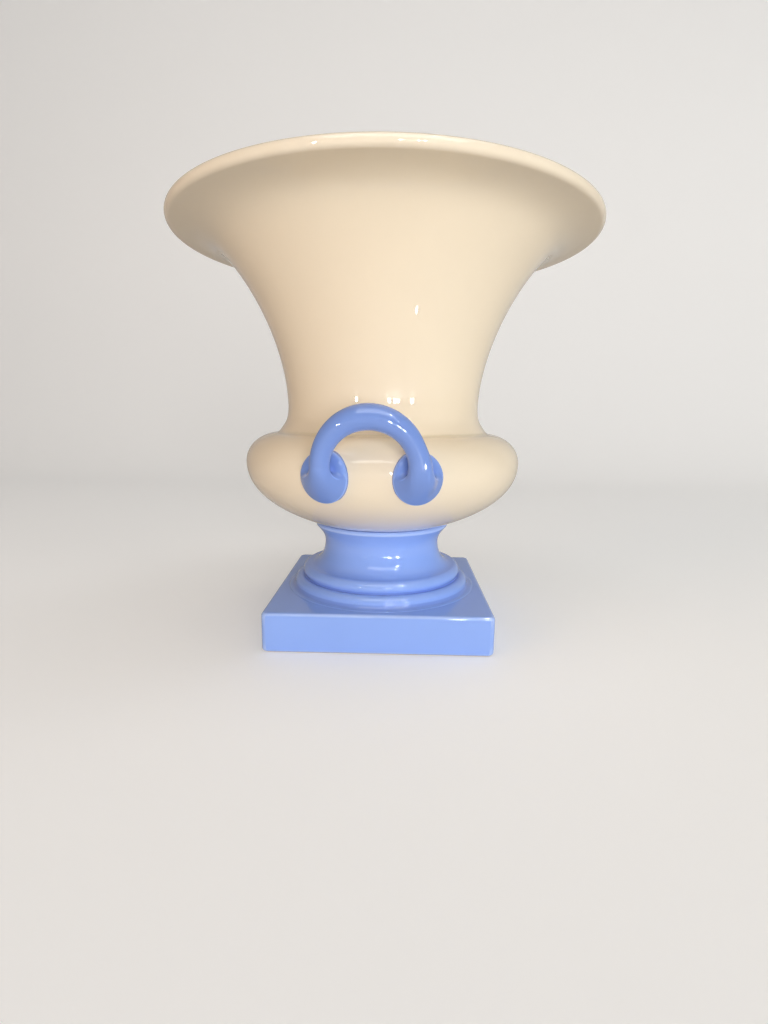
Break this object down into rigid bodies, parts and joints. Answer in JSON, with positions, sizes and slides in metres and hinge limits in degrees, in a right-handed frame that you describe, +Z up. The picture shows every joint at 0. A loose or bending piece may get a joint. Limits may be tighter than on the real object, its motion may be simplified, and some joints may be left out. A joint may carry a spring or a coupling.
{
  "type": "urn vase",
  "caption": "Campana urn vase: flared ivory bowl with a rounded lobe, blue loop handles front and back, and a blue spool foot on a square plinth.",
  "frame": {"origin": "middle of the square face that the urn rests on", "axes": "+Z up along the axis of the bowl and foot, -Y towards the front handle, X and Y along the plinth's sides"},
  "size_m": [0.2178, 0.2178, 0.2103],
  "materials": {
    "ivory_glaze": "glossy ivory glaze on pale earthenware",
    "blue_glaze": "glossy cornflower-blue glaze on pale earthenware"
  },
  "bodies": {
    "root": {"plinth": "blue_glaze", "foot": "blue_glaze", "bowl": "ivory_glaze", "handle_front": "blue_glaze", "handle_back": "blue_glaze"}
  },
  "joints": []
}
